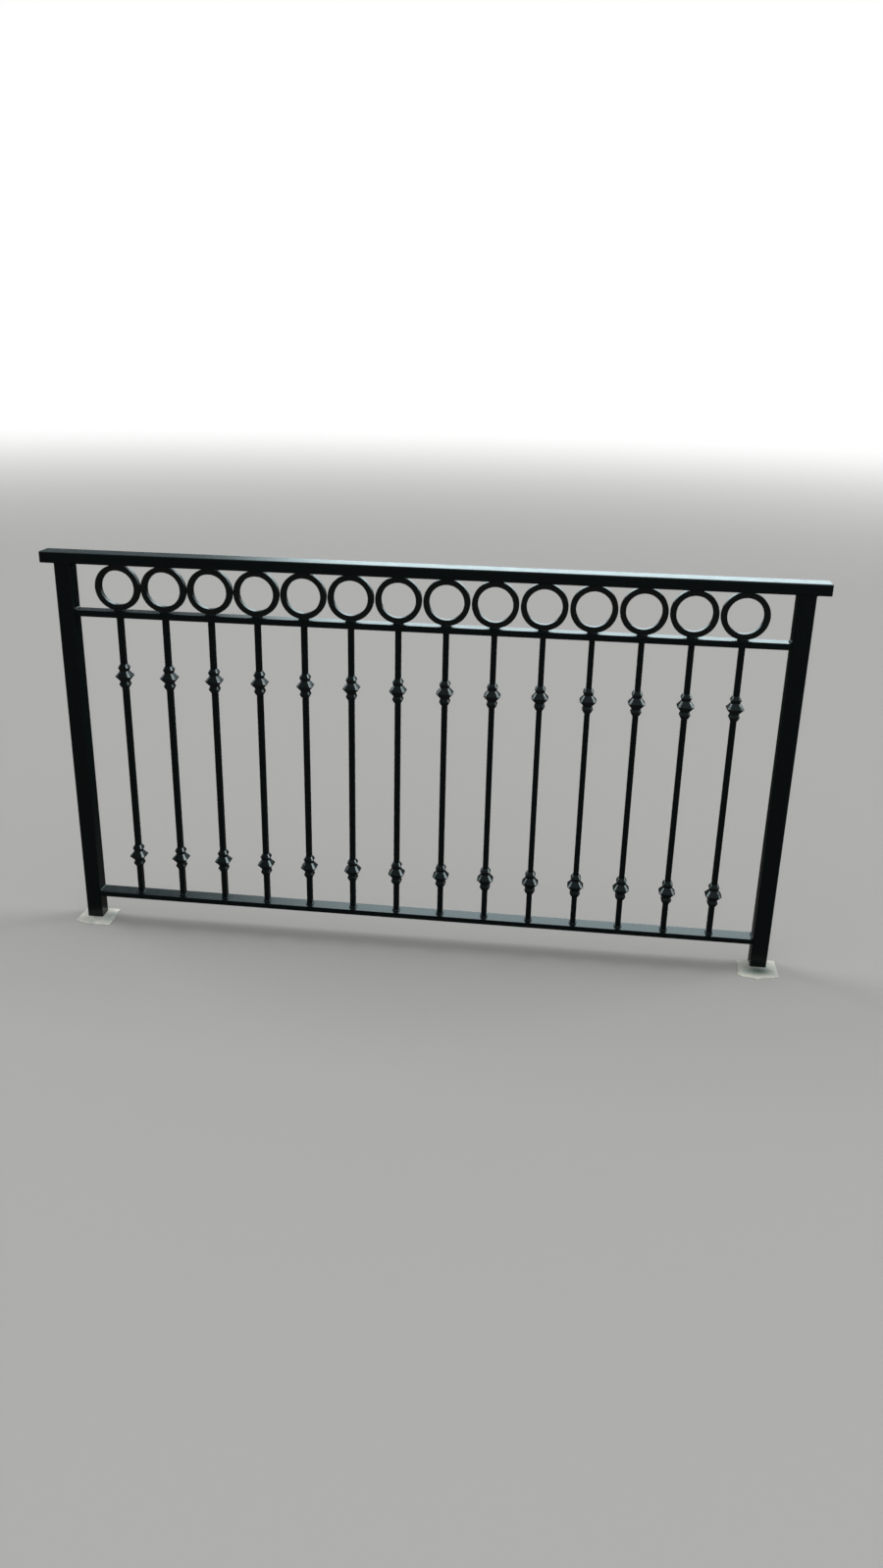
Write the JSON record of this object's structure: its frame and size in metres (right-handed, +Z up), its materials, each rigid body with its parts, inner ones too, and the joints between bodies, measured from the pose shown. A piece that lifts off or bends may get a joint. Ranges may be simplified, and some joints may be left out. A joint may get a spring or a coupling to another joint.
{
  "type": "iron guard railing panel between two posts",
  "caption": "Iron guard railing panel with a flat cap rail, a frieze of cast rings and square balusters with knuckle collars, between two square posts.",
  "frame": {"origin": "middle of the left post's foot, on the paving", "axes": "+X along the railing from the left post to the right one, +Y towards the back, away from the patio, +Z up"},
  "size_m": [1.7279, 0.107, 0.9144],
  "materials": {
    "painted_steel": "semi-gloss black paint, lightly dusty on the flat tops",
    "painted_castings": "semi-gloss black paint over a faintly rough casting",
    "painted_welds": "semi-gloss black paint over rippled weld",
    "mortar": "matte, trowelled, sandy"
  },
  "bodies": {
    "root": {"left_post": "painted_steel", "right_post": "painted_steel", "cap_rail": "painted_steel", "cap_rail_end_plates": "painted_steel", "ring_rail": "painted_steel", "bottom_rail": "painted_steel", "baluster_01": "painted_steel", "baluster_02": "painted_steel", "baluster_03": "painted_steel", "baluster_04": "painted_steel", "baluster_05": "painted_steel", "baluster_06": "painted_steel", "baluster_07": "painted_steel", "baluster_08": "painted_steel", "baluster_09": "painted_steel", "baluster_10": "painted_steel", "baluster_11": "painted_steel", "baluster_12": "painted_steel", "baluster_13": "painted_steel", "baluster_14": "painted_steel", "ring_01": "painted_castings", "ring_02": "painted_castings", "ring_03": "painted_castings", "ring_04": "painted_castings", "ring_05": "painted_castings", "ring_06": "painted_castings", "ring_07": "painted_castings", "ring_08": "painted_castings", "ring_09": "painted_castings", "ring_10": "painted_castings", "ring_11": "painted_castings", "ring_12": "painted_castings", "ring_13": "painted_castings", "ring_14": "painted_castings", "upper_collars": "painted_castings", "lower_collars": "painted_castings", "ring_welds": "painted_welds", "baluster_foot_welds": "painted_welds", "rail_end_welds": "painted_welds", "post_head_welds": "painted_welds", "left_mortar_patch": "mortar", "right_mortar_patch": "mortar"}
  },
  "joints": []
}
